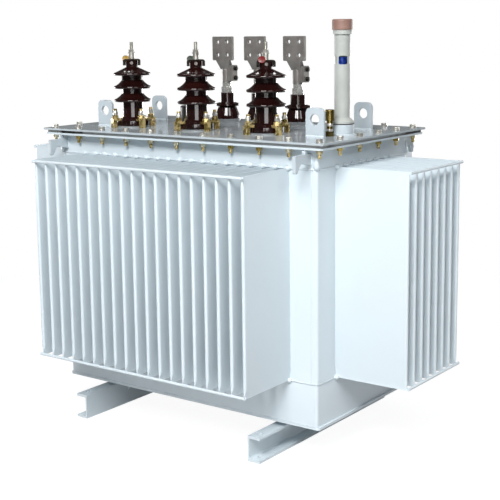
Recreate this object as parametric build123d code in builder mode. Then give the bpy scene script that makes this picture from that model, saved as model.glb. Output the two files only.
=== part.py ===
"""Oil-filled distribution transformer with a corrugated fin tank, in millimetres.

The origin is at the centre of the footprint, on the floor under the skids.
+Z is up, +X runs along the length and -Y is the high-voltage side.
"""
import os

from build123d import *

os.makedirs("parts", exist_ok=True)

# Channel skids
skid_height = 80
skid_flange_width = 43
skid_web = 5
skid_flange = 8
skid_root_radius = 6
skid_length = 746
skid_web_spacing = 662
skid_hole_diameter = 18
skid_hole_end_distance = 32
bearer_thickness = 17
bearer_inset = 85
gusset_size = 34
gusset_thickness = 6
gusset_spacing = 330

# Corrugated fin walls, folded from one sheet and pinched shut at both ends
fin_pitch = 45
fin_width = 12
fin_sheet = 2
fin_height = 636
front_fin_count = 19
end_fin_count = 8
front_fin_depth = 226
end_fin_depth = 241
pinch_strip = 12
pinch_taper = 16
tie_rod_diameter = 9
tie_rod_gap = 0.2

# Tank
wall = 6
post_front_arm = 79.5
post_end_arm = 84
corner_inner_radius = 3
wall_recess = 2
floor_thickness = 8
floor_end_lip = 6
skirt_height = 131
rim_height = 60

# Bolted joint between tank and cover
flange_width_long = 39
flange_width_end = 35
flange_thickness = 6
gasket_thickness = 9
gasket_inset = 3
cover_thickness = 6
cover_overhang = 7
corner_clip = 3
bolt_edge_distance = 23
bolt_hole_diameter = 13.5
front_bolt_count = 11
end_bolt_count = 6

# Lifting eyes on the cover
eye_width = 64
eye_height = 86
eye_thickness = 10
eye_hole_diameter = 32
eye_hole_height = 51
eye_corner_radius = 18
eye_spacing_x = 842
eye_spacing_y = 278

# Lifting hooks on the tank
hook_reach = 82
hook_thickness = 11
hook_leg = 26
hook_tip = 12
hook_leg_length = 28
hook_shoulder_drop = 1
hook_finger_width = 15
hook_finger_rise = 12
hook_finger_distance = 20
hook_seat_drop = 24
hook_seat_slope = 10
hook_arch_radius = 12
hook_round_share = 0.45
hook_corner_distance = 24
hook_flange_clearance = 1

# High-voltage bushings
hv_row_y = -125
hv_middle_x = -38.5
hv_spacing = 272.5
hv_seat_radius = 55
hv_seat_height = 6
hv_flange_radius = 56
hv_flange_height = 16
hv_foot_radius = 44
hv_foot_height = 12
hv_body_radius = 34.5
hv_shed_radius = 61
hv_shed_count = 3
hv_first_shed = 82
hv_shed_pitch = 43.5
hv_rim_radius = 4.5
hv_shed_rise = 28
hv_shed_curve = 60
hv_neck_radius = 19
hv_neck_length = 44
hv_neck_straight = 22
hv_strap_gap = 1
hv_strap_leg = 9
hv_strap_plate = 5
hv_strap_width = 24
hv_strap_drop = 16
hv_strap_corner_radius = 8
hv_strap_angle = 40
hv_stud_radius = 5
hv_stud_clearance = 0.3
hv_collar_radius = 10
hv_collar_height = 18
hv_washer_radius = 12
hv_washer_height = 4
hv_top_nut_flats = 17
hv_top_nut_height = 9
hv_stud_end = 24
hv_clamp_count = 4
hv_clamp_angle = -25
hv_pillar_gap = 2
hv_claw_width = 22
hv_claw_thickness = 8
hv_claw_overlap = 9
hv_heel = 5
hv_heel_gap = 1
hv_pillar_radius = 6
hv_pillar_height = 62
hv_pillar_nut_flats = 19
hv_pillar_nut_height = 10

# Low-voltage bushings
lv_row_y = 190
lv_left_x = -155
lv_middle_x = -20
lv_right_x = 140
lv_seat_radius = 44
lv_seat_height = 12
lv_base_radius = 43
lv_base_height = 8
lv_waist_radius = 31
lv_waist_height = 40
lv_shed_radius = 43
lv_shed_height = 45.5
lv_shed_thickness = 5
lv_neck_radius = 25
lv_neck_bottom = 56
lv_height = 88.5
lv_nut_flats = 37
lv_nut_height = 20
lv_lock_nut_flats = 30
lv_lock_nut_height = 15.5
lv_stud_radius = 11
lv_stud_end_gap = 4
lv_bore_clearance = 0.2
lv_barrel_radius = 17.5
lv_barrel_height = 45.5
lv_ear_reach = 35
lv_ear_thickness = 28
lv_ear_rise = 5
lv_ear_height = 54
lv_groove_distance = 25
lv_groove_width = 2
lv_groove_depth = 3
lv_ear_hole_diameter = 10
lv_ear_hole_depth = 12
lv_ear_hole_spacing = 32
palm_width = 84
palm_height = 81
palm_thickness = 12
palm_offset = 20
palm_shoulder_height = 30
palm_shoulder_width = 56
palm_shoulder_depth = 26
palm_hole_spacing_x = 40
palm_hole_spacing_z = 44
palm_hole_diameter = 14
palm_corner_radius = 4

# Tap changer cap
tap_x = -168
tap_y = 20
tap_radius = 45
tap_height = 75
tap_flange_radius = 58
tap_flange_height = 10
tap_grip_length = 60
tap_grip_width = 14
tap_grip_height = 9
tap_edge_radius = 6

# Oil filler and level tube
tube_x = 452
tube_y = -39
tube_neck_radius = 36
tube_neck_height = 33
tube_flange_radius = 35
tube_flange_height = 8
tube_cone_height = 11
tube_radius = 23.5
tube_wall = 3
tube_top = 298.8
tube_window_width = 26
tube_window_height = 25.4
tube_window_bottom = 210
tube_window_corner = 5
tube_window_angle = 38
glass_wall = 2.5
glass_gap = 0.3
glass_end = 12
float_length = 22
float_gap = 0.3
tube_collar_radius = 28
tube_collar_height = 13
tube_cap_radius = 30.5
tube_cap_height = 31
tube_cap_edge = 5

# Pressure relief valve
relief_x = 447
relief_y = -101
relief_stem_radius = 9
relief_hex_flats = 24
relief_hex_height = 14
relief_stem_height = 46
relief_cap_radius = 14
relief_cap_height = 33
relief_cap_edge = 3

# Places that follow from the sizes above
overrun = 5
front_wall_length = front_fin_count * fin_pitch
end_wall_length = end_fin_count * fin_pitch
tank_length = front_wall_length + 2 * post_front_arm
tank_width = end_wall_length + 2 * post_end_arm
corner_radius = wall + corner_inner_radius
floor_bottom = skid_height + bearer_thickness
skirt_bottom = floor_bottom + floor_thickness
fin_bottom = skirt_bottom + skirt_height
fin_top = fin_bottom + fin_height
flange_bottom = fin_top + rim_height
gasket_bottom = flange_bottom + flange_thickness
cover_bottom = gasket_bottom + gasket_thickness
cover_top = cover_bottom + cover_thickness
flange_length = tank_length + 2 * flange_width_long
flange_width = tank_width + 2 * flange_width_end
cover_length = flange_length + 2 * cover_overhang
cover_width = flange_width + 2 * cover_overhang
bolt_span_x = flange_length - 2 * bolt_edge_distance
bolt_span_y = flange_width - 2 * bolt_edge_distance
pinch_height = pinch_strip + pinch_taper
hv_height = hv_first_shed + (hv_shed_count - 1) * hv_shed_pitch + hv_neck_length


def keep(piece, name):
    """Label one finished piece and write it to its own file."""
    piece.label = name
    export_step(piece, f"parts/{name}.step")


def upright(x, y, z):
    """Plane at a point with its axes along the transformer's own."""
    return Plane(origin=(x, y, z))


def cover_point(x, y):
    """Plane on the cover's top face."""
    return upright(x, y, cover_top)


# Channel skids, open outwards, with a bolt hole near each end of both flanges
for side, name in ((-1, "left_skid"), (1, "right_skid")):
    back_end = (side * skid_web_spacing / 2, skid_length / 2, 0)
    with BuildPart() as skid:
        with BuildSketch(Plane(back_end, x_dir=(1, 0, 0), z_dir=(0, -1, 0))) as section:
            with BuildLine():
                Polyline(
                    (0, 0),
                    (side * skid_flange_width, 0),
                    (side * skid_flange_width, skid_flange),
                    (side * skid_web, skid_flange),
                    (side * skid_web, skid_height - skid_flange),
                    (side * skid_flange_width, skid_height - skid_flange),
                    (side * skid_flange_width, skid_height),
                    (0, skid_height),
                    close=True,
                )
            make_face()
            inner_corners = section.vertices().group_by(Axis.X)[1 if side > 0 else -2]
            fillet(inner_corners, skid_root_radius)
        extrude(amount=skid_length)
        hole_x = side * (skid_web_spacing + skid_web + skid_flange_width) / 2
        with Locations((hole_x, 0, skid_height)):
            with GridLocations(skid_length, skid_length - 2 * skid_hole_end_distance, 1, 2):
                Hole(skid_hole_diameter / 2)
    keep(skid.part, name)

# Bearer bars on the skids, with triangular gussets from the webs to the tank floor
with BuildPart() as bearers:
    for side in (-1, 1):
        bearer_x = side * (skid_web_spacing + skid_flange_width) / 2
        with BuildSketch(upright(bearer_x, 0, skid_height)):
            Rectangle(skid_flange_width, tank_width - 2 * bearer_inset)
        extrude(amount=bearer_thickness)
        for y in (-gusset_spacing / 2, gusset_spacing / 2):
            corner = (side * skid_web_spacing / 2, y, floor_bottom)
            with BuildSketch(Plane(corner, x_dir=(1, 0, 0), z_dir=(0, -1, 0))):
                with BuildLine():
                    gusset_foot = (0, -bearer_thickness - gusset_size)
                    Polyline((0, 0), (-side * gusset_size, 0), gusset_foot, close=True)
                make_face()
            extrude(amount=gusset_thickness / 2, both=True)
keep(bearers.part, "skid_bearers")

# Floor plate, flush with the skirt along the sides and with a small lip at both ends
with BuildPart() as floor_plate:
    with BuildSketch(Plane.XY.offset(floor_bottom)):
        RectangleRounded(
            tank_length - 2 * wall_recess + 2 * floor_end_lip,
            tank_width - 2 * wall_recess,
            corner_radius,
        )
    extrude(amount=floor_thickness)
keep(floor_plate.part, "floor_plate")

# Lower skirt, a bent plate ring under the fins
with BuildPart() as skirt:
    with BuildSketch(Plane.XY.offset(skirt_bottom)):
        skirt_length = tank_length - 2 * wall_recess
        skirt_width = tank_width - 2 * wall_recess
        RectangleRounded(skirt_length, skirt_width, corner_radius)
        RectangleRounded(
            skirt_length - 2 * wall,
            skirt_width - 2 * wall,
            corner_radius - wall,
            mode=Mode.SUBTRACT,
        )
    extrude(amount=skirt_height)
keep(skirt.part, "lower_skirt")

# Four bent corner posts between the fin walls
with BuildPart() as posts:
    with BuildSketch(Plane.XY.offset(fin_bottom)):
        RectangleRounded(tank_length, tank_width, corner_radius)
        RectangleRounded(
            tank_length - 2 * wall,
            tank_width - 2 * wall,
            corner_radius - wall,
            mode=Mode.SUBTRACT,
        )
        Rectangle(front_wall_length, tank_width, mode=Mode.SUBTRACT)
        Rectangle(tank_length, end_wall_length, mode=Mode.SUBTRACT)
    extrude(amount=fin_height)
keep(posts.part, "corner_posts")


def fin_plan(width, depth, back):
    """Plan of one fin, from its back edge out to a half-round tip."""
    straight = depth - width / 2
    with BuildSketch() as plan:
        with BuildLine():
            Polyline((width / 2, -straight), (width / 2, back), (-width / 2, back), (-width / 2, -straight))
            ThreePointArc((-width / 2, -straight), (0, -depth), (width / 2, -straight))
        make_face()
    return plan.sketch


def pinched_end(depth):
    """Lower end of a fin: its two sides pressed together into a flat welded strip."""
    with BuildPart() as end:
        with BuildSketch():
            add(fin_plan(2 * fin_sheet, depth, fin_sheet))
        extrude(amount=pinch_strip)
        with BuildSketch(Plane.XY.offset(pinch_strip)):
            add(fin_plan(2 * fin_sheet, depth, fin_sheet))
        with BuildSketch(Plane.XY.offset(pinch_height)):
            add(fin_plan(fin_width, depth, fin_sheet))
        loft()
    return end.part


# Corrugated walls, one folded sheet each, with every fin pinched at top and bottom
wall_y = tank_width / 2 - wall_recess
wall_x = tank_length / 2 - wall_recess
fin_walls = {
    "front": (Plane((0, -wall_y, fin_bottom), x_dir=(1, 0, 0)), front_fin_count, front_fin_depth),
    "back": (Plane((0, wall_y, fin_bottom), x_dir=(-1, 0, 0)), front_fin_count, front_fin_depth),
    "left": (Plane((-wall_x, 0, fin_bottom), x_dir=(0, -1, 0)), end_fin_count, end_fin_depth),
    "right": (Plane((wall_x, 0, fin_bottom), x_dir=(0, 1, 0)), end_fin_count, end_fin_depth),
}
for side, (plane, count, depth) in fin_walls.items():
    lower_end = pinched_end(depth)
    upper_end = mirror(lower_end, Plane.XY.offset(fin_height / 2))
    outer_plan = fin_plan(fin_width, depth, fin_sheet)
    channel_plan = fin_plan(fin_width - 2 * fin_sheet, depth - fin_sheet, fin_sheet)
    with BuildPart(plane) as fin_wall:
        with BuildSketch(plane):
            Rectangle(count * fin_pitch, fin_sheet, align=(Align.CENTER, Align.MIN))
        extrude(amount=fin_height)
        with BuildSketch(plane.offset(pinch_height)):
            with GridLocations(fin_pitch, fin_pitch, count, 1):
                add(outer_plan)
        extrude(amount=fin_height - 2 * pinch_height)
        with GridLocations(fin_pitch, fin_pitch, count, 1):
            add(lower_end)
            add(upper_end)
        with BuildSketch(plane.offset(pinch_height)):
            with GridLocations(fin_pitch, fin_pitch, count, 1):
                add(channel_plan)
        extrude(amount=fin_height - 2 * pinch_height, mode=Mode.SUBTRACT)
    keep(fin_wall.part, f"{side}_fin_wall")

# Round tie rods across the pinched fin tips, top and bottom of each wall
with BuildPart() as tie_rods:
    rod_radius = tie_rod_diameter / 2
    for plane, count, depth in fin_walls.values():
        rod_length = (count - 1) * fin_pitch + fin_width
        for height in (rod_radius, fin_height - rod_radius):
            centre = plane.from_local_coords((0, -depth - tie_rod_gap - rod_radius, height))
            with BuildSketch(Plane(centre, x_dir=(0, 0, 1), z_dir=plane.x_dir)):
                Circle(rod_radius)
            extrude(amount=rod_length / 2, both=True)
keep(tie_rods.part, "tie_rods")

# Upper rim band above the fins
with BuildPart() as rim:
    with BuildSketch(Plane.XY.offset(fin_top)):
        RectangleRounded(tank_length, tank_width, corner_radius)
        RectangleRounded(
            tank_length - 2 * wall,
            tank_width - 2 * wall,
            corner_radius - wall,
            mode=Mode.SUBTRACT,
        )
    extrude(amount=rim_height)
keep(rim.part, "rim_band")


def clipped_plate(length, width, clip):
    """Rectangle with its four corners cut off."""
    with BuildSketch() as plate:
        Rectangle(length, width)
        chamfer(plate.vertices(), clip)
    return plate.sketch


def bolt_places():
    """Bolt places round the flange: both long rows with corners, then the end rows."""
    long_rows = GridLocations(bolt_span_x / (front_bolt_count - 1), bolt_span_y, front_bolt_count, 2)
    end_rows = GridLocations(bolt_span_x, bolt_span_y / (end_bolt_count - 1), 2, end_bolt_count - 2)
    return list(long_rows) + list(end_rows)


# Tank flange, gasket and cover, clamped by one ring of bolts
joint_layers = (
    ("tank_flange", flange_bottom, flange_thickness, 0),
    ("cover_gasket", gasket_bottom, gasket_thickness, gasket_inset),
)
for name, height, thickness, inset in joint_layers:
    with BuildPart() as layer:
        with BuildSketch(Plane.XY.offset(height)):
            add(clipped_plate(flange_length - 2 * inset, flange_width - 2 * inset, corner_clip))
            Rectangle(
                tank_length - 2 * wall + 2 * inset,
                tank_width - 2 * wall + 2 * inset,
                mode=Mode.SUBTRACT,
            )
            with Locations(bolt_places()):
                Circle(bolt_hole_diameter / 2, mode=Mode.SUBTRACT)
        extrude(amount=thickness)
    keep(layer.part, name)

with BuildPart() as cover:
    with BuildSketch(Plane.XY.offset(cover_bottom)):
        add(clipped_plate(cover_length, cover_width, corner_clip))
        with Locations(bolt_places()):
            Circle(bolt_hole_diameter / 2, mode=Mode.SUBTRACT)
    extrude(amount=cover_thickness)
keep(cover.part, "cover_plate")

# Lifting eyes welded to the cover, plates with rounded shoulders and a round hole
eye_places = {
    "front_left": (-1, -1),
    "front_right": (1, -1),
    "back_left": (-1, 1),
    "back_right": (1, 1),
}
for place, (along, across) in eye_places.items():
    eye_origin = (along * eye_spacing_x / 2, across * eye_spacing_y / 2, cover_top)
    with BuildPart() as eye:
        with BuildSketch(Plane(eye_origin, x_dir=(1, 0, 0), z_dir=(0, -1, 0))) as outline:
            Rectangle(eye_width, eye_height, align=(Align.CENTER, Align.MIN))
            fillet(outline.vertices().group_by(Axis.Y)[-1], eye_corner_radius)
            with Locations((0, eye_hole_height)):
                Circle(eye_hole_diameter / 2, mode=Mode.SUBTRACT)
        extrude(amount=eye_thickness / 2, both=True)
    keep(eye.part, f"lifting_eye_{place}")

# Lifting hooks, plates that stand off the long walls beside the corners
with BuildPart() as hooks:
    hook_top = flange_bottom - hook_flange_clearance
    shoulder_top = hook_top - hook_finger_rise
    seat_top = shoulder_top - hook_seat_drop
    leg_bottom = seat_top - hook_leg_length
    for along in (-1, 1):
        for across in (-1, 1):
            hook_origin = (along * (tank_length / 2 - hook_corner_distance), across * tank_width / 2, 0)
            with BuildSketch(Plane(hook_origin, x_dir=(0, across, 0), z_dir=(across, 0, 0))) as outline:
                with BuildLine():
                    Polyline(
                        (0, seat_top - hook_seat_slope),
                        (0, shoulder_top),
                        (hook_finger_distance, shoulder_top),
                        (hook_finger_distance, hook_top),
                        (hook_finger_distance + hook_finger_width, hook_top),
                        (hook_finger_distance + hook_finger_width, shoulder_top),
                        (hook_reach, shoulder_top - hook_shoulder_drop),
                        (hook_reach, leg_bottom),
                        (hook_reach - hook_tip, leg_bottom),
                        (hook_reach - hook_leg, seat_top),
                        close=True,
                    )
                make_face()
                fillet(outline.vertices().group_by(Axis.Y)[2], hook_arch_radius)
                fillet(outline.vertices().group_by(Axis.Y)[0], hook_round_share * hook_tip)
                fillet(outline.vertices().group_by(Axis.Y)[-1], hook_round_share * hook_finger_width)
            extrude(amount=hook_thickness / 2, both=True)
keep(hooks.part, "tank_hooks")


# Discs welded to the cover under all six bushings
hv_places = {
    "left": hv_middle_x - hv_spacing,
    "middle": hv_middle_x,
    "right": hv_middle_x + hv_spacing,
}
lv_places = {
    "left": lv_left_x,
    "middle": lv_middle_x,
    "right": lv_right_x,
}
with BuildPart() as seats:
    for x in hv_places.values():
        with BuildSketch(cover_point(x, hv_row_y)):
            Circle(hv_seat_radius)
        extrude(amount=hv_seat_height)
    for x in lv_places.values():
        with BuildSketch(cover_point(x, lv_row_y)):
            Circle(lv_seat_radius)
        extrude(amount=lv_seat_height)
keep(seats.part, "bushing_seats")


def hv_profile():
    """Half section of the high-voltage porcelain, from base flange to top neck."""
    rim_x = hv_shed_radius - hv_rim_radius
    with BuildSketch() as profile:
        with BuildLine():
            foot_top = (hv_body_radius, hv_flange_height + hv_foot_height)
            foot_edge = (hv_foot_radius, hv_flange_height)
            Polyline((0, 0), (hv_flange_radius, 0), (hv_flange_radius, hv_flange_height), foot_edge)
            Line(foot_edge, foot_top)
            start = foot_top
            for number in range(hv_shed_count):
                under = hv_first_shed + number * hv_shed_pitch - hv_rim_radius
                top_edge = (rim_x, under + 2 * hv_rim_radius)
                Polyline(start, (hv_body_radius, under), (rim_x, under))
                ThreePointArc((rim_x, under), (hv_shed_radius, under + hv_rim_radius), top_edge)
                if number < hv_shed_count - 1:
                    start = (hv_body_radius, under + hv_shed_rise)
                    RadiusArc(top_edge, start, hv_shed_curve)
            neck = (hv_neck_radius, hv_height - hv_neck_straight)
            Polyline(top_edge, neck, (hv_neck_radius, hv_height), (0, hv_height), (0, 0))
        make_face()
    return profile.sketch


# High-voltage bushings: porcelain, nuts on a stud, and claws on the base flange
hv_collar_bottom = hv_height + hv_strap_plate
hv_washer_bottom = hv_collar_bottom + hv_collar_height
hv_top_nut_bottom = hv_washer_bottom + hv_washer_height
hv_stud_top = hv_top_nut_bottom + hv_top_nut_height + hv_stud_end
hv_clamp_circle = hv_flange_radius + hv_pillar_gap + hv_pillar_radius
hv_claw_outer = hv_clamp_circle + hv_pillar_radius + hv_heel_gap + hv_heel
hv_claw_length = hv_claw_outer - hv_flange_radius + hv_claw_overlap
for place, x in hv_places.items():
    foot = cover_point(x, hv_row_y)
    base = foot.offset(hv_seat_height)
    with BuildPart() as porcelain:
        with BuildSketch(Plane(base.origin, x_dir=(1, 0, 0), z_dir=(0, -1, 0))):
            add(hv_profile())
        revolve(axis=Axis(base.origin, (0, 0, 1)))
    keep(porcelain.part, f"hv_insulator_{place}")

    with BuildPart() as terminal:
        with BuildSketch(base.offset(hv_height)):
            Circle(hv_stud_radius)
        extrude(amount=hv_stud_top - hv_height)
        with BuildSketch(base.offset(hv_collar_bottom)):
            Circle(hv_collar_radius)
        extrude(amount=hv_collar_height)
        with BuildSketch(base.offset(hv_washer_bottom)):
            Circle(hv_washer_radius)
        extrude(amount=hv_washer_height)
        with BuildSketch(base.offset(hv_top_nut_bottom)):
            RegularPolygon(hv_top_nut_flats / 2, 6, major_radius=False)
        extrude(amount=hv_top_nut_height)
    keep(terminal.part, f"hv_terminal_{place}")

    with BuildPart() as clamps:
        with BuildSketch(foot):
            with PolarLocations(hv_clamp_circle, hv_clamp_count, start_angle=hv_clamp_angle):
                Circle(hv_pillar_radius)
        extrude(amount=hv_pillar_height)
        with BuildSketch(base.offset(hv_flange_height)):
            with PolarLocations(hv_claw_outer, hv_clamp_count, start_angle=hv_clamp_angle):
                Rectangle(hv_claw_length, hv_claw_width, align=(Align.MAX, Align.CENTER))
        extrude(amount=hv_claw_thickness)
        with BuildSketch(foot):
            with PolarLocations(hv_claw_outer, hv_clamp_count, start_angle=hv_clamp_angle):
                Rectangle(hv_heel, hv_claw_width, align=(Align.MAX, Align.CENTER))
        extrude(amount=hv_seat_height + hv_flange_height)
        with BuildSketch(base.offset(hv_flange_height + hv_claw_thickness)):
            with PolarLocations(hv_clamp_circle, hv_clamp_count, start_angle=hv_clamp_angle):
                RegularPolygon(hv_pillar_nut_flats / 2, 6, major_radius=False)
        extrude(amount=hv_pillar_nut_height)
    keep(clamps.part, f"hv_clamps_{place}")

# Bent straps held on the high-voltage studs, astride the porcelain necks
strap_inner = hv_neck_radius + hv_strap_gap
strap_outer = strap_inner + hv_strap_leg
with BuildPart() as straps:
    for x in hv_places.values():
        porcelain_top = (x, hv_row_y, cover_top + hv_seat_height + hv_height)
        upright_plane = Plane(porcelain_top, x_dir=(1, 0, 0), z_dir=(0, -1, 0))
        with BuildSketch(upright_plane.rotated((0, 0, hv_strap_angle))) as outline:
            with BuildLine():
                Polyline(
                    (-strap_outer, -hv_strap_drop),
                    (-strap_outer, hv_strap_plate),
                    (strap_outer, hv_strap_plate),
                    (strap_outer, -hv_strap_drop),
                    (strap_inner, -hv_strap_drop),
                    (strap_inner, 0),
                    (-strap_inner, 0),
                    (-strap_inner, -hv_strap_drop),
                    close=True,
                )
            make_face()
            fillet(outline.vertices().group_by(Axis.Y)[-1], hv_strap_corner_radius)
        extrude(amount=hv_strap_width / 2, both=True)
        with BuildSketch(upright(*porcelain_top)):
            Circle(hv_stud_radius + hv_stud_clearance)
        extrude(amount=hv_strap_plate, mode=Mode.SUBTRACT)
keep(straps.part, "hv_straps")


def lv_profile():
    """Half section of the low-voltage porcelain: a cone, one shed and a neck."""
    shed_top = lv_shed_height + lv_shed_thickness
    with BuildSketch() as profile:
        with BuildLine():
            Polyline(
                (0, 0),
                (lv_base_radius, 0),
                (lv_base_radius, lv_base_height),
                (lv_waist_radius, lv_waist_height),
                (lv_shed_radius, lv_shed_height),
                (lv_shed_radius, shed_top),
                (lv_neck_radius, lv_neck_bottom),
                (lv_neck_radius, lv_height),
                (0, lv_height),
                close=True,
            )
        make_face()
    return profile.sketch


# Low-voltage bushings: porcelain, stud with nuts, and a clamp with a four-hole palm
lv_barrel_bottom = lv_height + lv_nut_height + lv_lock_nut_height
lv_barrel_top = lv_barrel_bottom + lv_barrel_height
palm_bottom = lv_barrel_top + palm_shoulder_height
for place, x in lv_places.items():
    base = cover_point(x, lv_row_y).offset(lv_seat_height)
    with BuildPart() as porcelain:
        with BuildSketch(Plane(base.origin, x_dir=(1, 0, 0), z_dir=(0, -1, 0))):
            add(lv_profile())
        revolve(axis=Axis(base.origin, (0, 0, 1)))
    keep(porcelain.part, f"lv_insulator_{place}")

    with BuildPart() as stud:
        with BuildSketch(base.offset(lv_height)):
            RegularPolygon(lv_nut_flats / 2, 6, major_radius=False)
        extrude(amount=lv_nut_height)
        with BuildSketch(base.offset(lv_height + lv_nut_height)):
            RegularPolygon(lv_lock_nut_flats / 2, 6, major_radius=False)
        extrude(amount=lv_lock_nut_height)
        with BuildSketch(base.offset(lv_barrel_bottom)):
            Circle(lv_stud_radius)
        extrude(amount=lv_barrel_height - lv_stud_end_gap)
    keep(stud.part, f"lv_stud_{place}")

    palm_front = base.origin + (0, -palm_offset - palm_thickness / 2, palm_bottom)
    ear_bottom = lv_barrel_bottom + lv_ear_rise
    ear_end = base.origin + (lv_ear_reach, 0, ear_bottom + lv_ear_height / 2)
    with BuildPart() as palm:
        with BuildSketch(base.offset(lv_barrel_bottom)):
            Circle(lv_barrel_radius)
        extrude(amount=lv_barrel_height)
        with BuildSketch(base.offset(ear_bottom)):
            Rectangle(lv_ear_reach, lv_ear_thickness, align=(Align.MIN, Align.CENTER))
            with Locations((lv_groove_distance, 0)):
                with GridLocations(lv_ear_thickness, lv_ear_thickness, 1, 2):
                    Rectangle(lv_groove_width, 2 * lv_groove_depth, mode=Mode.SUBTRACT)
        extrude(amount=lv_ear_height)
        with BuildSketch(base.offset(lv_barrel_bottom)):
            Circle(lv_stud_radius + lv_bore_clearance)
        extrude(amount=lv_barrel_height, mode=Mode.SUBTRACT)
        with BuildSketch(base.offset(lv_barrel_top)):
            Rectangle(2 * lv_barrel_radius, palm_shoulder_depth)
        with BuildSketch(base.offset(palm_bottom)):
            with Locations((0, -palm_offset)):
                Rectangle(palm_shoulder_width, palm_thickness)
        loft()
        with BuildSketch(Plane(palm_front, x_dir=(1, 0, 0), z_dir=(0, -1, 0))) as face:
            Rectangle(palm_width, palm_height, align=(Align.CENTER, Align.MIN))
            fillet(face.vertices(), palm_corner_radius)
            with Locations((0, palm_height / 2)):
                with GridLocations(palm_hole_spacing_x, palm_hole_spacing_z, 2, 2):
                    Circle(palm_hole_diameter / 2, mode=Mode.SUBTRACT)
        extrude(amount=-palm_thickness)
        with BuildSketch(Plane(ear_end, x_dir=(0, 1, 0), z_dir=(1, 0, 0))):
            with GridLocations(lv_ear_hole_spacing, lv_ear_hole_spacing, 1, 2):
                Circle(lv_ear_hole_diameter / 2)
        extrude(amount=-lv_ear_hole_depth, mode=Mode.SUBTRACT)
    keep(palm.part, f"lv_palm_{place}")

# Tap changer cap with a grip across its top
tap_base = cover_point(tap_x, tap_y)
with BuildPart() as tap_cap:
    with BuildSketch(tap_base):
        Circle(tap_flange_radius)
    extrude(amount=tap_flange_height)
    with BuildSketch(tap_base):
        Circle(tap_radius)
    extrude(amount=tap_height - tap_grip_height)
    fillet(tap_cap.edges().filter_by(GeomType.CIRCLE).sort_by(Axis.Z)[-1], tap_edge_radius)
    with BuildSketch(tap_base.offset(tap_height - tap_grip_height)):
        SlotOverall(tap_grip_length, tap_grip_width)
    extrude(amount=tap_grip_height)
keep(tap_cap.part, "tap_changer_cap")

# Filler neck welded to the cover
tube_base = cover_point(tube_x, tube_y)
with BuildPart() as neck:
    with BuildSketch(tube_base):
        Circle(tube_neck_radius)
        Circle(tube_radius - tube_wall, mode=Mode.SUBTRACT)
    extrude(amount=tube_neck_height)
keep(neck.part, "filler_neck")

# Level tube with its foot flange, sight windows and top collar
with BuildPart() as tube:
    with BuildSketch(tube_base.offset(tube_neck_height)):
        Circle(tube_flange_radius)
    extrude(amount=tube_flange_height)
    cone_bottom = tube_neck_height + tube_flange_height
    with BuildSketch(tube_base.offset(cone_bottom)):
        Circle(tube_flange_radius)
    with BuildSketch(tube_base.offset(cone_bottom + tube_cone_height)):
        Circle(tube_radius)
    loft()
    with BuildSketch(tube_base.offset(tube_neck_height)):
        Circle(tube_radius)
    extrude(amount=tube_top - tube_neck_height)
    with BuildSketch(tube_base.offset(tube_top)):
        Circle(tube_collar_radius)
    extrude(amount=tube_collar_height)
    with BuildSketch(tube_base.offset(tube_neck_height)):
        Circle(tube_radius - tube_wall)
    extrude(amount=tube_top + tube_collar_height - tube_neck_height, mode=Mode.SUBTRACT)
    window_middle = tube_base.offset(tube_window_bottom + tube_window_height / 2)
    window_face = Plane(window_middle.origin, x_dir=(1, 0, 0), z_dir=(0, -1, 0))
    for turn in (tube_window_angle, tube_window_angle + 90):
        with BuildSketch(window_face.rotated((0, 0, turn))):
            RectangleRounded(tube_window_width, tube_window_height, tube_window_corner)
        extrude(amount=tube_radius + overrun, both=True, mode=Mode.SUBTRACT)
keep(tube.part, "level_tube")

# Sight glass and float inside the level tube
glass_radius = tube_radius - tube_wall - glass_gap
with BuildPart() as glass:
    with BuildSketch(tube_base.offset(tube_window_bottom - glass_end)):
        Circle(glass_radius)
        Circle(glass_radius - glass_wall, mode=Mode.SUBTRACT)
    extrude(amount=tube_window_height + 2 * glass_end)
keep(glass.part, "sight_glass")

with BuildPart() as level_float:
    with BuildSketch(tube_base.offset(tube_window_bottom)):
        Circle(glass_radius - glass_wall - float_gap)
    extrude(amount=float_length)
keep(level_float.part, "level_float")

# Filler cap closing the level tube
with BuildPart() as filler_cap:
    with BuildSketch(tube_base.offset(tube_top + tube_collar_height)):
        Circle(tube_cap_radius)
    extrude(amount=tube_cap_height)
    fillet(filler_cap.edges().filter_by(GeomType.CIRCLE).sort_by(Axis.Z)[-1], tube_cap_edge)
keep(filler_cap.part, "filler_cap")

# Pressure relief valve: hexagon foot, stem and round cap
relief_base = cover_point(relief_x, relief_y)
with BuildPart() as relief:
    with BuildSketch(relief_base):
        RegularPolygon(relief_hex_flats / 2, 6, major_radius=False)
    extrude(amount=relief_hex_height)
    with BuildSketch(relief_base):
        Circle(relief_stem_radius)
    extrude(amount=relief_stem_height)
    with BuildSketch(relief_base.offset(relief_stem_height)):
        Circle(relief_cap_radius)
    extrude(amount=relief_cap_height)
    fillet(relief.edges().filter_by(GeomType.CIRCLE).sort_by(Axis.Z)[-1], relief_cap_edge)
keep(relief.part, "relief_valve")
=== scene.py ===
import math

import bmesh
import bpy
from mathutils import Matrix, Vector, noise


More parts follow.
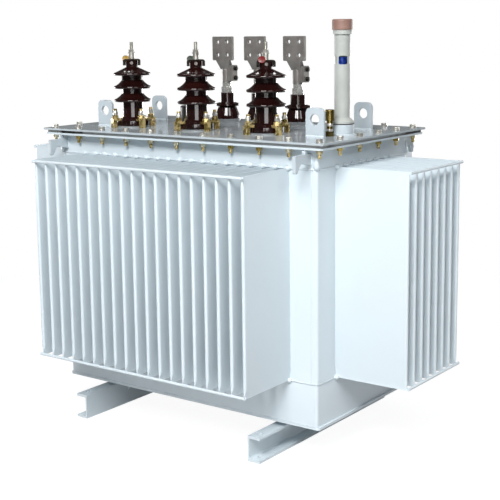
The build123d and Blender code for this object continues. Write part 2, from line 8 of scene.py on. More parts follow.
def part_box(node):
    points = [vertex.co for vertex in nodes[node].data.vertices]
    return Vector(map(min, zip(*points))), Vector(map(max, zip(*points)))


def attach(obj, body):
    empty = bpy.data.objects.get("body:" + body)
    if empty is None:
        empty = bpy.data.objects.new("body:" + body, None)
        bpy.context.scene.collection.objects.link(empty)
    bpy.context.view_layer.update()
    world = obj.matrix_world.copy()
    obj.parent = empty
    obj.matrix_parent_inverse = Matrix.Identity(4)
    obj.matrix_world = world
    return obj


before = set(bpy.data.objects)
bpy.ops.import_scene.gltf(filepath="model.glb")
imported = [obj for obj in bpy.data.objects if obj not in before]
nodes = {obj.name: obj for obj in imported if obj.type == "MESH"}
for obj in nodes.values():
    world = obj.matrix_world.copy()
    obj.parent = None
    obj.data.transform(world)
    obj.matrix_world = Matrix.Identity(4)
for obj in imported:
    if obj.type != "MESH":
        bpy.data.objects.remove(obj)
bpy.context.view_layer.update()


# Channel skids with their bearer bars and gussets: two rolled steel channels under the tank, cut to length,
# drilled for foundation bolts, welded to the floor plate and spray-painted light grey-blue with the tank.
def linear(red, green, blue):
    """Display colour from 0 to 1 as the linear colour that shaders take."""
    return tuple(c / 12.92 if c <= 0.04045 else ((c + 0.055) / 1.055) ** 2.4 for c in (red, green, blue))


def surface(name, light, dark, roughness, drift_scale, relief_scale, relief, metallic=0.0,
            steps=(0.32, 0.62)):
    """A finish whose tone, gloss and fine relief drift over the piece, dark to light between the steps."""
    material = bpy.data.materials.new(name)
    material.use_nodes = True
    tree = material.node_tree
    shader = tree.nodes["Principled BSDF"]
    shader.inputs["Metallic"].default_value = metallic
    place = tree.nodes.new("ShaderNodeTexCoord")
    drift = tree.nodes.new("ShaderNodeTexNoise")
    drift.inputs["Scale"].default_value = drift_scale
    drift.inputs["Detail"].default_value = 5.0
    tone = tree.nodes.new("ShaderNodeValToRGB")
    tone.color_ramp.elements[0].position = steps[0]
    tone.color_ramp.elements[0].color = (*linear(*dark), 1)
    tone.color_ramp.elements[1].position = steps[1]
    tone.color_ramp.elements[1].color = (*linear(*light), 1)
    gloss = tree.nodes.new("ShaderNodeMapRange")
    gloss.inputs["To Min"].default_value = roughness[0]
    gloss.inputs["To Max"].default_value = roughness[1]
    grain = tree.nodes.new("ShaderNodeTexNoise")
    grain.inputs["Scale"].default_value = relief_scale
    grain.inputs["Detail"].default_value = 2.0
    bump = tree.nodes.new("ShaderNodeBump")
    bump.inputs["Strength"].default_value = relief
    bump.inputs["Distance"].default_value = 0.001
    for source, target in (
        (place.outputs["Object"], drift.inputs["Vector"]),
        (place.outputs["Object"], grain.inputs["Vector"]),
        (drift.outputs["Fac"], tone.inputs["Fac"]),
        (drift.outputs["Fac"], gloss.inputs["Value"]),
        (grain.outputs["Fac"], bump.inputs["Height"]),
        (tone.outputs["Color"], shader.inputs["Base Color"]),
        (gloss.outputs["Result"], shader.inputs["Roughness"]),
        (bump.outputs["Normal"], shader.inputs["Normal"]),
    ):
        tree.links.new(source, target)
    return material


def even_shading():
    """Node group that joins the facets of a CAD mesh and shades round faces smooth and edges sharp."""
    group = bpy.data.node_groups.new("even_shading", "GeometryNodeTree")
    group.interface.new_socket("Geometry", in_out="INPUT", socket_type="NodeSocketGeometry")
    group.interface.new_socket("Geometry", in_out="OUTPUT", socket_type="NodeSocketGeometry")
    entry = group.nodes.new("NodeGroupInput")
    bare = group.nodes.new("GeometryNodeRemoveAttribute")
    bare.inputs["Name"].default_value = "custom_normal"
    merge = group.nodes.new("GeometryNodeMergeByDistance")
    merge.inputs["Distance"].default_value = 0.00001
    smooth = group.nodes.new("GeometryNodeSetShadeSmooth")
    angle = group.nodes.new("GeometryNodeInputMeshEdgeAngle")
    limit = group.nodes.new("FunctionNodeCompare")
    limit.operation = "LESS_THAN"
    limit.inputs["B"].default_value = math.radians(32)
    crease = group.nodes.new("GeometryNodeSetShadeSmooth")
    crease.domain = "EDGE"
    leave = group.nodes.new("NodeGroupOutput")
    for source, target in (
        (entry.outputs[0], bare.inputs["Geometry"]),
        (bare.outputs["Geometry"], merge.inputs["Geometry"]),
        (merge.outputs["Geometry"], smooth.inputs["Geometry"]),
        (smooth.outputs["Geometry"], crease.inputs["Geometry"]),
        (angle.outputs["Unsigned Angle"], limit.inputs["A"]),
        (limit.outputs["Result"], crease.inputs["Shade Smooth"]),
        (crease.outputs["Geometry"], leave.inputs[0]),
    ):
        group.links.new(source, target)
    return group


shading = even_shading()


def dress(name, material, edge=0.0):
    """Gives a CAD node its finish, even shading and, where edge is set, rounded plate edges of that width."""
    node = nodes[name]
    node.data.materials.clear()
    node.data.materials.append(material)
    node.modifiers.new("even_shading", "NODES").node_group = shading
    if edge:
        flat = node.modifiers.new("flat_faces", "DECIMATE")
        flat.decimate_type = "DISSOLVE"
        flat.angle_limit = math.radians(1)
        rounded = node.modifiers.new("rounded_edges", "BEVEL")
        rounded.width = edge
        rounded.segments = 2
        rounded.limit_method = "ANGLE"
        rounded.angle_limit = math.radians(50)
        rounded.use_clamp_overlap = False
        rounded.harden_normals = True


tank_paint = surface("tank_paint", (0.81, 0.852, 0.876), (0.792, 0.836, 0.86), (0.28, 0.40), 3.0, 420.0, 0.05)
for name in ("left_skid", "right_skid", "skid_bearers"):
    dress(name, tank_paint)


# Tank body: floor plate, skirt, four bent corner posts and the upper rim band, all steel plate. They are
# welded together, and the seams show as rippled beads under the paint, with a wider run up each corner.
def bead(mesh, start, end, radius, end_radius=None):
    """Adds a rippled run of weld from start to end."""
    turns = [math.tau * k / 8 for k in range(8)]
    ring_step, end_share = 0.7, 0.35
    mean_share, uneven_share, ripple_share, uneven_scale = 0.92, 0.14, 0.08, 160
    start, end = Vector(start), Vector(end)
    end_radius = radius if end_radius is None else end_radius
    along = (end - start).normalized()
    side = along.orthogonal().normalized()
    other = along.cross(side)
    ring_count = max(4, int((end - start).length / (ring_step * max(radius, end_radius))))
    rings = []
    for i in range(ring_count + 1):
        share = i / ring_count
        place = start.lerp(end, share)
        size = radius + (end_radius - radius) * share
        size *= mean_share + uneven_share * noise.noise(place * uneven_scale) + ripple_share * (i % 2)
        size *= end_share if i in (0, ring_count) else 1.0
        rings.append([mesh.verts.new(place + size * (math.cos(turn) * side + math.sin(turn) * other))
                      for turn in turns])
    for first, second in zip(rings, rings[1:]):
        for k in range(len(turns)):
            after = (k + 1) % len(turns)
            mesh.faces.new((first[k], first[after], second[after], second[k]))
    mesh.faces.new(reversed(rings[0]))
    mesh.faces.new(rings[-1])


def add_piece(name, mesh, material, crease=40):
    """Makes an object of the mesh that stays with the tank, smooth but for edges sharper than crease."""
    bmesh.ops.recalc_face_normals(mesh, faces=mesh.faces)
    for face in mesh.faces:
        face.smooth = True
    for edge in mesh.edges:
        edge.smooth = len(edge.link_faces) == 2 and edge.calc_face_angle() < math.radians(crease)
    data = bpy.data.meshes.new(name)
    mesh.to_mesh(data)
    mesh.free()
    data.materials.append(material)
    piece = bpy.data.objects.new(name, data)
    bpy.context.scene.collection.objects.link(piece)
    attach(piece, "root")


for name in ("floor_plate", "lower_skirt", "corner_posts", "rim_band"):
    dress(name, tank_paint)
rim_low, rim_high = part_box("rim_band")
skirt_low, skirt_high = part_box("lower_skirt")
post_low, post_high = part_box("corner_posts")
seam_radius, foot_seam_radius, corner_round = 0.003, 0.0015, 0.009
flare_top, flare_radius, post_line = 0.042, 0.013, 0.020
seams = bmesh.new()
for box_high, level, size in (
    (rim_high, rim_low.z, seam_radius),
    (rim_high, rim_high.z, seam_radius),
    (skirt_high, skirt_high.z, seam_radius),
    (skirt_high, skirt_low.z, foot_seam_radius),
):
    reach_x, reach_y = box_high.x - corner_round, box_high.y - corner_round
    for side in (-1, 1):
        bead(seams, (-reach_x, side * box_high.y, level), (reach_x, side * box_high.y, level), size)
        bead(seams, (side * box_high.x, -reach_y, level), (side * box_high.x, reach_y, level), size)
corner_inset = corner_round * (1 - math.sqrt(0.5))
for x_side in (-1, 1):
    for y_side in (-1, 1):
        corner = Vector((x_side * (rim_high.x - corner_inset), y_side * (rim_high.y - corner_inset), 0))
        flare_start = corner + Vector((0, 0, rim_low.z - seam_radius))
        flare_end = corner + Vector((0, 0, rim_low.z + flare_top))
        bead(seams, flare_start, flare_end, flare_radius, seam_radius)
        bead(seams, flare_end, corner + Vector((0, 0, rim_high.z)), seam_radius)
        line = Vector((x_side * (post_high.x - post_line), y_side * post_high.y, 0))
        bead(seams, line + Vector((0, 0, post_low.z)), line + Vector((0, 0, post_high.z)), foot_seam_radius)
add_piece("tank_seams", seams, tank_paint, crease=80)


# Corrugated fin walls and tie rods: thin steel sheet folded into hollow fins, pinched shut top and bottom and
# seam-welded there. Round rods tacked across the fin tips keep the spacing. Painted with the tank.
fin_paint = surface("fin_paint", (0.808, 0.85, 0.874), (0.793, 0.837, 0.861), (0.28, 0.38), 2.2, 380.0, 0.05)
for name in ("front_fin_wall", "back_fin_wall", "left_fin_wall", "right_fin_wall", "tie_rods"):
    dress(name, fin_paint)
fin_pitch = 0.045
front_fin_count = 19
end_fin_count = 8
rod_radius = 0.0045
fin_low, fin_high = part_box("front_fin_wall")
end_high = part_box("right_fin_wall")[1]
front_places = [fin_pitch * (i - (front_fin_count - 1) / 2) for i in range(front_fin_count)]
end_places = [fin_pitch * (i - (end_fin_count - 1) / 2) for i in range(end_fin_count)]


def blob(mesh, centre, size):
    """Adds a drop of weld, an ellipsoid of those half sizes."""
    bmesh.ops.create_icosphere(mesh, subdivisions=2, radius=1.0,
                               matrix=Matrix.Translation(centre) @ Matrix.Diagonal((*size, 1)))


foot_long, foot_wide, foot_lift = 0.013, 0.008, 0.001
tack, tack_shift = 0.004, 0.005
fin_welds = bmesh.new()
for level in (fin_low.z, fin_high.z):
    tack_level = level + (rod_radius if level == fin_low.z else -rod_radius)
    for side in (-1, 1):
        foot_y, tip_y = side * (rim_high.y + foot_lift), side * (-fin_low.y + foot_lift)
        for x in front_places:
            blob(fin_welds, (x, foot_y, level), (foot_long, foot_wide, foot_wide))
            blob(fin_welds, (x + tack_shift, tip_y, tack_level), (tack, tack, tack))
        foot_x, tip_x = side * (rim_high.x + foot_lift), side * (end_high.x + foot_lift)
        for y in end_places:
            blob(fin_welds, (foot_x, y, level), (foot_wide, foot_long, foot_wide))
            blob(fin_welds, (tip_x, y + tack_shift, tack_level), (tack, tack, tack))
add_piece("fin_welds", fin_welds, fin_paint, crease=80)


# Bolted joint: tank flange and cover sawn from steel plate, a grey rubber gasket between them and thirty hex
# bolts round the rim. The cover's darker grey and the gasket's black patches are painted shade. The bolt
# heads are bright zinc, the nuts below pale and the ends yellow zinc.
# The gasket is grey rubber; its black patches are painted shade where the gap between flange and cover is
# seen into.
gasket_rubber = surface("gasket_rubber", (0.62, 0.63, 0.63), (0.08, 0.08, 0.085), (0.55, 0.75),
                        5.0, 300.0, 0.2, steps=(0.31, 0.37))
bright_zinc = surface("bright_zinc", (0.88, 0.87, 0.84), (0.68, 0.67, 0.63), (0.26, 0.40),
                      40.0, 500.0, 0.1, metallic=0.8)
yellow_zinc = surface("yellow_zinc", (0.88, 0.79, 0.56), (0.50, 0.43, 0.20), (0.20, 0.34),
                      70.0, 500.0, 0.12, metallic=0.7, steps=(0.40, 0.58))
pale_zinc = surface("pale_zinc", (0.93, 0.91, 0.82), (0.66, 0.57, 0.28), (0.25, 0.40),
                    16.0, 500.0, 0.1, metallic=0.6, steps=(0.42, 0.58))
# The cover is painted like the tank; this darker grey is painted shade for its dim top.
cover_painted_shade = surface("cover_painted_shade", (0.71, 0.745, 0.765), (0.69, 0.725, 0.745), (0.07, 0.12),
                      3.0, 420.0, 0.02)
dress("tank_flange", tank_paint)
dress("cover_plate", cover_painted_shade)
dress("cover_gasket", gasket_rubber)
flange_low, flange_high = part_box("tank_flange")
cover_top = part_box("cover_plate")[1].z
bolt_edge, long_row, end_row = 0.023, 11, 6
row_x, row_y = flange_high.x - bolt_edge, flange_high.y - bolt_edge
bolt_places = [(row_x * (2 * i / (long_row - 1) - 1), side * row_y)
               for i in range(long_row) for side in (-1, 1)]
bolt_places += [(side * row_x, row_y * (2 * i / (end_row - 1) - 1))
                for i in range(1, end_row - 1) for side in (-1, 1)]


def prism(mesh, centre, radius, height, sides, turn=0.0, *, edge):
    """Adds an upright prism or round standing on centre, with edges rounded by that width."""
    made = bmesh.ops.create_cone(mesh, cap_ends=True, segments=sides, radius1=radius, radius2=radius,
                                 depth=height,
                                 matrix=Matrix.Translation(Vector(centre) + Vector((0, 0, height / 2)))
                                 @ Matrix.Rotation(turn, 4, "Z"))
    edges = {e for v in made["verts"] for e in v.link_edges}
    if sides > 8:
        edges = {e for e in edges if len(e.link_faces) == 2 and e.calc_face_angle() > math.radians(50)}
    bmesh.ops.bevel(mesh, geom=list(edges), offset=edge, offset_type="OFFSET", affect="EDGES",
                    segments=2, profile=0.5, material=-1)


heads = bmesh.new()
nuts = bmesh.new()
bolt_ends = bmesh.new()
washer_radius, washer_height = 0.011, 0.0025
head_radius, head_height = 0.0104, 0.0075
nut_radius, nut_height = 0.0098, 0.010
shank_radius, shank_end = 0.005, 0.026
washer_edge, hex_edge, shank_edge = 0.0005, 0.0008, 0.001
turn_step, nut_turn = 0.4, 0.3
under_washer = flange_low.z - washer_height
for i, (x, y) in enumerate(bolt_places):
    turn = turn_step * i
    prism(heads, (x, y, cover_top), washer_radius, washer_height, 24, edge=washer_edge)
    prism(heads, (x, y, cover_top + washer_height), head_radius, head_height, 6, turn, edge=hex_edge)
    prism(nuts, (x, y, under_washer), washer_radius, washer_height, 24, edge=washer_edge)
    prism(nuts, (x, y, under_washer - nut_height), nut_radius, nut_height, 6, turn + nut_turn, edge=hex_edge)
    prism(bolt_ends, (x, y, flange_low.z - shank_end), shank_radius, shank_end - washer_height, 16,
          edge=shank_edge)
add_piece("cover_bolts", heads, bright_zinc)
add_piece("cover_nuts", nuts, pale_zinc)
add_piece("bolt_ends", bolt_ends, yellow_zinc)


# Lifting eyes on the cover and lifting hooks on the tank: flame-cut steel plates with dressed edges, fillet
# welded where they stand and painted by hand; their grey, darker than the tank's, is painted shade.
dull_painted_shade = surface("dull_painted_shade", (0.735, 0.775, 0.80), (0.715, 0.755, 0.78), (0.30, 0.42), 4.0, 420.0, 0.06)
plate_edge = 0.001
eye_weld, eye_weld_lift, hook_weld = 0.004, 0.001, 0.0035
hook_weld_foot, hook_weld_top, hook_half = 0.018, 0.012, 0.0055
lug_welds = bmesh.new()
for place in ("front_left", "front_right", "back_left", "back_right"):
    dress("lifting_eye_" + place, dull_painted_shade, edge=plate_edge)
    eye_low, eye_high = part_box("lifting_eye_" + place)
    level = cover_top + eye_weld_lift
    for y in (eye_low.y, eye_high.y):
        bead(lug_welds, (eye_low.x, y, level), (eye_high.x, y, level), eye_weld)
dress("tank_hooks", dull_painted_shade, edge=plate_edge)
hook_low, hook_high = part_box("tank_hooks")
hook_x = hook_high.x - hook_half
for x_side in (-1, 1):
    for y_side in (-1, 1):
        for face in (-hook_half, hook_half):
            x, y = x_side * hook_x + face, y_side * rim_high.y
            bead(lug_welds, (x, y, hook_low.z + hook_weld_foot), (x, y, hook_high.z - hook_weld_top),
                 hook_weld)
add_piece("lug_welds", lug_welds, tank_paint, crease=80)


# High-voltage bushings: glazed brown porcelain with three sheds on a welded seat, held down by plated claws
# on studs with domed nuts. On top are a threaded stud with bright nuts, a dark bronze strap with a nut on its
# front, and a plastic disc in the colour of the phase.
porcelain = surface("brown_porcelain", (0.135, 0.052, 0.045), (0.09, 0.034, 0.032), (0.07, 0.12),
                    14.0, 90.0, 0.03)
dark_bronze = surface("strap_bronze", (0.15, 0.125, 0.10), (0.085, 0.07, 0.06), (0.3, 0.5),
                      60.0, 350.0, 0.2, metallic=0.7)
dull_zinc = surface("dull_zinc", (0.56, 0.54, 0.52), (0.46, 0.44, 0.42), (0.42, 0.55),
                    60.0, 400.0, 0.15, metallic=0.6)
# The bushing seats are painted like the tank; their mid grey is painted shade, as under the porcelain
# flanges.
seat_painted_shade = surface("seat_painted_shade", (0.50, 0.52, 0.53), (0.46, 0.48, 0.49), (0.30, 0.42), 12.0, 420.0, 0.06)
phase_colours = {
    "left": ("phase_yellow", (0.60, 0.48, 0.22), 0.0196, 0.0),
    "middle": ("phase_green", (0.22, 0.25, 0.22), 0.017, 0.0),
    "right": ("phase_red", (0.44, 0.10, 0.10), 0.0135, 0.011),
}


def ring(mesh, centre, radius, profile):
    """Turns a closed profile of (out, up) points into a ring of that radius round an upright axis."""
    centre = Vector(centre)
    points = [mesh.verts.new(centre + Vector((radius + out, 0, up))) for out, up in profile]
    edges = [mesh.edges.new((points[i], points[(i + 1) % len(points)])) for i in range(len(points))]
    bmesh.ops.spin(mesh, geom=points + edges, cent=centre, axis=(0, 0, 1), angle=math.tau, steps=48,
                   use_merge=True)


def round_profile(size):
    """Circle of that radius as points for a ring."""
    return [(size * math.cos(math.tau * k / 8), size * math.sin(math.tau * k / 8)) for k in range(8)]


hv_seat_radius, seat_weld = 0.055, 0.003
stud_radius, thread_depth, thread_pitch, thread_length, plain_end = 0.005, 0.0006, 0.00175, 0.0225, 0.001
disc_radius, disc_thickness, disc_lift, disc_edge, disc_shade = 0.0118, 0.006, 0.0005, 0.0012, 0.88
disc_facing = Vector((0.55, -0.66, 0.51)).to_track_quat("Z", "Y").to_matrix().to_4x4()
strap_turn, strap_edge = math.radians(40), 0.001
clamp_turn, clamp_circle, clamp_count, clamp_edge = math.radians(-25), 0.064, 4, 0.0008
dome_radius, dome_height, dome_share = 0.0085, 0.009, 0.86
dome_foot_drop, dome_middle_drop = 2.2 * dome_height, 1.2 * dome_height
strap_nut_radius, strap_nut_taper, strap_nut_depth = 0.0068, 0.8, 0.007
strap_nut_drop, strap_nut_out = 0.013, 0.0185
seat_welds = bmesh.new()
threads = bmesh.new()
domes = bmesh.new()
strap_nuts = bmesh.new()
dress("bushing_seats", seat_painted_shade)
dress("hv_straps", dark_bronze, edge=strap_edge)
strap_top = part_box("hv_straps")[1].z
front = Vector((math.sin(strap_turn), -math.cos(strap_turn), 0))
facing_front = front.to_track_quat("Z", "Y").to_matrix().to_4x4()
along = Vector((math.cos(strap_turn), math.sin(strap_turn), 0))
for place, (slot, colour, reach, forward) in phase_colours.items():
    dress("hv_insulator_" + place, porcelain)
    dress("hv_terminal_" + place, bright_zinc)
    dress("hv_clamps_" + place, yellow_zinc, edge=clamp_edge)
    foot_low, foot_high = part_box("hv_insulator_" + place)
    axis_x, axis_y = (foot_low.x + foot_high.x) / 2, (foot_low.y + foot_high.y) / 2
    ring(seat_welds, (axis_x, axis_y, cover_top), hv_seat_radius, round_profile(seat_weld))
    stud_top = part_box("hv_terminal_" + place)[1].z
    ridge = ((0, -thread_pitch / 2), (thread_depth, 0), (0, thread_pitch / 2), (-thread_depth, 0))
    for i in range(int(thread_length / thread_pitch)):
        ring(threads, (axis_x, axis_y, stud_top - plain_end - thread_pitch * (i + 0.5)), stud_radius, ridge)
    clamp_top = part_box("hv_clamps_" + place)[1].z
    for i in range(clamp_count):
        around = clamp_turn + math.tau * i / clamp_count
        spot = (axis_x + clamp_circle * math.cos(around), axis_y + clamp_circle * math.sin(around))
        prism(domes, (*spot, clamp_top - dome_foot_drop), dome_radius, dome_height, 6, around,
              edge=clamp_edge)
        blob(domes, (*spot, clamp_top - dome_middle_drop),
             (dome_radius * dome_share, dome_radius * dome_share, dome_height))
    spot = Vector((axis_x, axis_y, strap_top - strap_nut_drop)) + strap_nut_out * front
    bmesh.ops.create_cone(strap_nuts, cap_ends=True, segments=6, radius1=strap_nut_radius,
                          radius2=strap_nut_taper * strap_nut_radius, depth=strap_nut_depth,
                          matrix=Matrix.Translation(spot) @ facing_front)
    disc = bmesh.new()
    middle = Vector((axis_x, axis_y, strap_top + disc_lift)) - reach * along + forward * front
    bmesh.ops.create_cone(disc, cap_ends=True, segments=32, radius1=disc_radius, radius2=disc_radius,
                          depth=disc_thickness, matrix=Matrix.Translation(middle) @ disc_facing)
    rims = [e for e in disc.edges if e.calc_face_angle() > math.radians(50)]
    bmesh.ops.bevel(disc, geom=rims, offset=disc_edge, offset_type="OFFSET", affect="EDGES",
                    segments=2, profile=0.5, material=-1)
    shade = tuple(disc_shade * c for c in colour)
    plastic = surface(slot, colour, shade, (0.3, 0.4), 60.0, 500.0, 0.05)
    add_piece("phase_disc_" + place, disc, plastic)
add_piece("stud_threads", threads, bright_zinc, crease=30)
add_piece("clamp_domes", domes, bright_zinc)
add_piece("strap_nuts", strap_nuts, dull_zinc)


# Low-voltage bushings: short brown porcelain cones with one shed on a welded seat, a stud with two nuts, and
# a cast clamp on the stud that ends in a flat four-hole palm of tinned metal. Two dark screws close it.
palm_metal = surface("palm_metal", (0.60, 0.585, 0.57), (0.53, 0.515, 0.50), (0.32, 0.42),
                     25.0, 260.0, 0.15, metallic=0.6)
nut_steel = surface("nut_steel", (0.95, 0.95, 0.93), (0.85, 0.85, 0.83), (0.20, 0.32),
                    50.0, 500.0, 0.08, metallic=0.8)
screw_steel = surface("screw_steel", (0.26, 0.25, 0.24), (0.16, 0.155, 0.15), (0.3, 0.45),
                      60.0, 400.0, 0.15, metallic=0.9)
lv_seat_radius, barrel_middle, palm_edge = 0.044, 0.032, 0.0008
ear_reach, screw_spacing = 0.035, 0.032
screw_radius, screw_head, screw_edge = 0.0085, 0.008, 0.0008
screws = bmesh.new()
for place in phase_colours:
    dress("lv_insulator_" + place, porcelain)
    dress("lv_stud_" + place, nut_steel)
    dress("lv_palm_" + place, palm_metal, edge=palm_edge)
    foot_low, foot_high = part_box("lv_insulator_" + place)
    axis_x, axis_y = (foot_low.x + foot_high.x) / 2, (foot_low.y + foot_high.y) / 2
    ring(seat_welds, (axis_x, axis_y, cover_top), lv_seat_radius, round_profile(seat_weld))
    clamp_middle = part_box("lv_palm_" + place)[0].z + barrel_middle
    for side in (-1, 1):
        spot = Vector((axis_x + ear_reach + screw_head / 2, axis_y, clamp_middle + side * screw_spacing / 2))
        made = bmesh.ops.create_cone(screws, cap_ends=True, segments=6, radius1=screw_radius,
                                     radius2=screw_radius, depth=screw_head,
                                     matrix=Matrix.Translation(spot) @ Matrix.Rotation(math.pi / 2, 4, "Y"))
        edges = list({e for v in made["verts"] for e in v.link_edges})
        bmesh.ops.bevel(screws, geom=edges, offset=screw_edge, offset_type="OFFSET", affect="EDGES",
                        segments=2, profile=0.5, material=-1)
# The seat welds take the seats' mid grey of painted shade.
add_piece("seat_welds", seat_welds, seat_painted_shade, crease=80)
add_piece("palm_screws", screws, screw_steel)


# Tap changer cap: a moulded black plastic cover with a grip across its top. It stands between the two rows of
# bushings and is screwed to the cover plate.
tap_black = surface("tap_cap_black", (0.13, 0.13, 0.135), (0.09, 0.09, 0.095), (0.35, 0.5), 20.0, 500.0, 0.15)
dress("tap_changer_cap", tap_black)


# Oil filler: a painted steel neck welded to the cover, a black seal, a grey level tube with windows, the
# glass and blue float behind them and a terracotta cap screwed on top.
tube_grey = surface("tube_grey", (0.68, 0.695, 0.68), (0.64, 0.655, 0.64), (0.4, 0.55), 18.0, 300.0, 0.12)
float_blue = surface("float_blue", (0.06, 0.22, 0.64), (0.04, 0.17, 0.55), (0.3, 0.4), 30.0, 300.0, 0.05)
terracotta = surface("cap_terracotta", (0.56, 0.44, 0.40), (0.51, 0.395, 0.355), (0.38, 0.5),
                     30.0, 400.0, 0.1)
glass = surface("sight_glass", (0.93, 0.96, 0.96), (0.90, 0.94, 0.94), (0.03, 0.06), 20.0, 60.0, 0.02)
clear = glass.node_tree.nodes["Principled BSDF"]
clear.inputs["Transmission Weight"].default_value = 1.0
clear.inputs["IOR"].default_value = 1.15
seal_black = surface("seal_black", (0.09, 0.09, 0.095), (0.06, 0.06, 0.065), (0.5, 0.7), 20.0, 300.0, 0.1)
# The filler neck and its weld share this darker grey of painted shade.
dress("filler_neck", dull_painted_shade)
dress("level_tube", tube_grey)
dress("sight_glass", glass)
dress("level_float", float_blue)
dress("filler_cap", terracotta)
neck_low, neck_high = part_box("filler_neck")
neck_middle = (neck_low + neck_high) / 2
neck_radius = (neck_high.x - neck_low.x) / 2
neck_weld_size, seal_size, seal_inset = 0.004, 0.0016, 0.0008
neck_weld = bmesh.new()
ring(neck_weld, (neck_middle.x, neck_middle.y, neck_low.z), neck_radius, round_profile(neck_weld_size))
add_piece("neck_weld", neck_weld, dull_painted_shade, crease=80)
seal = bmesh.new()
ring(seal, (neck_middle.x, neck_middle.y, neck_high.z), neck_radius - seal_inset, round_profile(seal_size))
add_piece("neck_seal", seal, seal_black, crease=80)


# Pressure relief valve: turned from brass that has gone dark and screwed into the cover beside the filler,
# with two bright hex nuts on its stem.
valve_brass = surface("valve_brass", (0.56, 0.49, 0.28), (0.36, 0.31, 0.16), (0.16, 0.26),
                      50.0, 400.0, 0.12, metallic=0.95)
dress("relief_valve", valve_brass)
valve_low, valve_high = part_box("relief_valve")
valve_middle = (valve_low + valve_high) / 2
stem_nut_radius, stem_nut_height, stem_nut_edge = 0.0105, 0.008, 0.0008
stem_nut_levels, stem_nut_turn = (0.014, 0.030), 30
stem_nuts = bmesh.new()
for level in stem_nut_levels:
    prism(stem_nuts, (valve_middle.x, valve_middle.y, cover_top + level), stem_nut_radius, stem_nut_height, 6,
          stem_nut_turn * level, edge=stem_nut_edge)
add_piece("valve_nuts", stem_nuts, bright_zinc)


# Floor: one large flat sheet under the skids. The camera sees it nearly white, with a faint shadow under the
# tank and pure white further out, and for all other light it is a matt mid grey.
floor_reach = 30
floor_tone = bpy.data.materials.new("floor_tone")
floor_tone.use_nodes = True
tree = floor_tone.node_tree
tree.nodes.clear()
seen = tree.nodes.new("ShaderNodeLightPath")
place = tree.nodes.new("ShaderNodeTexCoord")
away = tree.nodes.new("ShaderNodeVectorMath")
away.operation = "LENGTH"
far = tree.nodes.new("ShaderNodeMapRange")
far.inputs["From Min"].default_value = 1.0
far.inputs["From Max"].default_value = 2.4
near_white = tree.nodes.new("ShaderNodeEmission")
near_white.inputs["Strength"].default_value = 0.93
far_white = tree.nodes.new("ShaderNodeEmission")
shadow = tree.nodes.new("ShaderNodeBsdfDiffuse")
shadow.inputs["Color"].default_value = (0.14, 0.14, 0.14, 1)
both = tree.nodes.new("ShaderNodeAddShader")
blend = tree.nodes.new("ShaderNodeMixShader")
plain = tree.nodes.new("ShaderNodeBsdfDiffuse")
plain.inputs["Color"].default_value = (0.60, 0.60, 0.60, 1)
pick = tree.nodes.new("ShaderNodeMixShader")
leave = tree.nodes.new("ShaderNodeOutputMaterial")
for source, target in (
    (place.outputs["Object"], away.inputs[0]),
    (away.outputs["Value"], far.inputs["Value"]),
    (near_white.outputs[0], both.inputs[0]),
    (shadow.outputs[0], both.inputs[1]),
    (far.outputs["Result"], blend.inputs[0]),
    (both.outputs[0], blend.inputs[1]),
    (far_white.outputs[0], blend.inputs[2]),
    (seen.outputs["Is Camera Ray"], pick.inputs[0]),
    (plain.outputs[0], pick.inputs[1]),
    (blend.outputs[0], pick.inputs[2]),
    (pick.outputs[0], leave.inputs["Surface"]),
):
    tree.links.new(source, target)
ground = bmesh.new()
bmesh.ops.create_grid(ground, x_segments=1, y_segments=1, size=floor_reach)
ground_data = bpy.data.meshes.new("floor")
ground.to_mesh(ground_data)
ground.free()
ground_data.materials.append(floor_tone)
floor = bpy.data.objects.new("floor", ground_data)
bpy.context.scene.collection.objects.link(floor)


# Room: dim and slightly blue light from all round, a little warmer where a glossy face mirrors it, and a
# plain white backdrop for the camera.
world = bpy.data.worlds.new("studio")
bpy.context.scene.world = world
world.use_nodes = True
tree = world.node_tree
tree.nodes.clear()
seen = tree.nodes.new("ShaderNodeLightPath")
backdrop = tree.nodes.new("ShaderNodeBackground")
backdrop.inputs["Color"].default_value = (1, 1, 1, 1)
room = tree.nodes.new("ShaderNodeBackground")
room.inputs["Color"].default_value = (0.93, 0.96, 1.0, 1)
room.inputs["Strength"].default_value = 0.10
mirrored = tree.nodes.new("ShaderNodeBackground")
mirrored.inputs["Color"].default_value = (0.98, 0.96, 0.94, 1)
mirrored.inputs["Strength"].default_value = 0.09
shine = tree.nodes.new("ShaderNodeMixShader")
pick = tree.nodes.new("ShaderNodeMixShader")
leave = tree.nodes.new("ShaderNodeOutputWorld")
for source, target in (
    (seen.outputs["Is Glossy Ray"], shine.inputs[0]),
    (room.outputs[0], shine.inputs[1]),
    (mirrored.outputs[0], shine.inputs[2]),
    (seen.outputs["Is Camera Ray"], pick.inputs[0]),
    (shine.outputs[0], pick.inputs[1]),
    (backdrop.outputs[0], pick.inputs[2]),
    (pick.outputs[0], leave.inputs["Surface"]),
):
    tree.links.new(source, target)


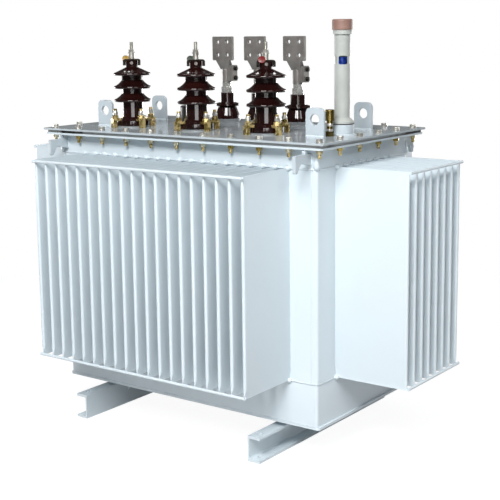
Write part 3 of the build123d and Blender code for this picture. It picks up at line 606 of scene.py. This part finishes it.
# Lamps: a wide soft box high in front gives most of the light and a smaller one on the right the rest. A low
# strip lights the fins from near the camera, two small lamps lie in the cover's reflection, and three stand
# behind and on the left for the sides that face away from the camera.
def lamp(name, place, aim, width, height, power):
    """A soft box that shines from place at aim."""
    light = bpy.data.lights.new(name, "AREA")
    light.shape = "RECTANGLE"
    light.size = width
    light.size_y = height
    light.energy = power
    holder = bpy.data.objects.new(name, light)
    holder.location = place
    holder.rotation_mode = "QUATERNION"
    holder.rotation_quaternion = (Vector(aim) - Vector(place)).to_track_quat("-Z", "Y")
    bpy.context.scene.collection.objects.link(holder)


lamp("key", (4.10, -2.05, 4.46), (0, 0, 0.6), 1.8, 1.8, 78)
lamp("fill", (1.57, -4.32, 4.46), (0, 0, 0.6), 2.6, 1.8, 394)
lamp("low_strip", (3.06, -4.21, 0.60), (0, 0, 0.8), 3.4, 0.30, 25)
lamp("ceiling_left", (-2.69, 1.71, 4.38), (0, 0, 1.2), 1.0, 0.8, 22)
lamp("ceiling_right", (-0.83, 3.07, 4.38), (0, 0, 1.2), 1.0, 0.8, 22)
lamp("back", (1.54, 5.74, 1.44), (0, 0, 0.6), 2.4, 1.6, 65)
lamp("back_low", (-1.20, 5.50, 0.50), (0, 0, 0.5), 2.8, 0.7, 130)
lamp("left_low", (-5.30, 0.95, 0.50), (0, 0, 0.5), 2.2, 0.7, 85)


# Camera: a long lens off the front right corner, a little above the cover and looking slightly down, as
# fitted to the edges of the tank in the photograph.
camera_place = (2.239, -2.952, 1.270)
azimuth, elevation, roll = math.radians(36.4), math.radians(9.6), math.radians(-0.7)
level_share = math.cos(elevation)
back = Vector((math.sin(azimuth) * level_share, -math.cos(azimuth) * level_share, math.sin(elevation)))
right = Vector((math.cos(azimuth), math.sin(azimuth), 0))
up = back.cross(right)
right, up = math.cos(roll) * right + math.sin(roll) * up, math.cos(roll) * up - math.sin(roll) * right
lens = bpy.data.cameras.new("camera")
lens.sensor_width = 36
lens.lens = 81.53
lens.shift_x = 0.0064
lens.shift_y = -0.059
camera = bpy.data.objects.new("camera", lens)
camera.matrix_world = Matrix.Translation(camera_place) @ Matrix((right, up, back)).transposed().to_4x4()
bpy.context.scene.collection.objects.link(camera)
bpy.context.scene.camera = camera
bpy.context.scene.view_settings.view_transform = "Standard"
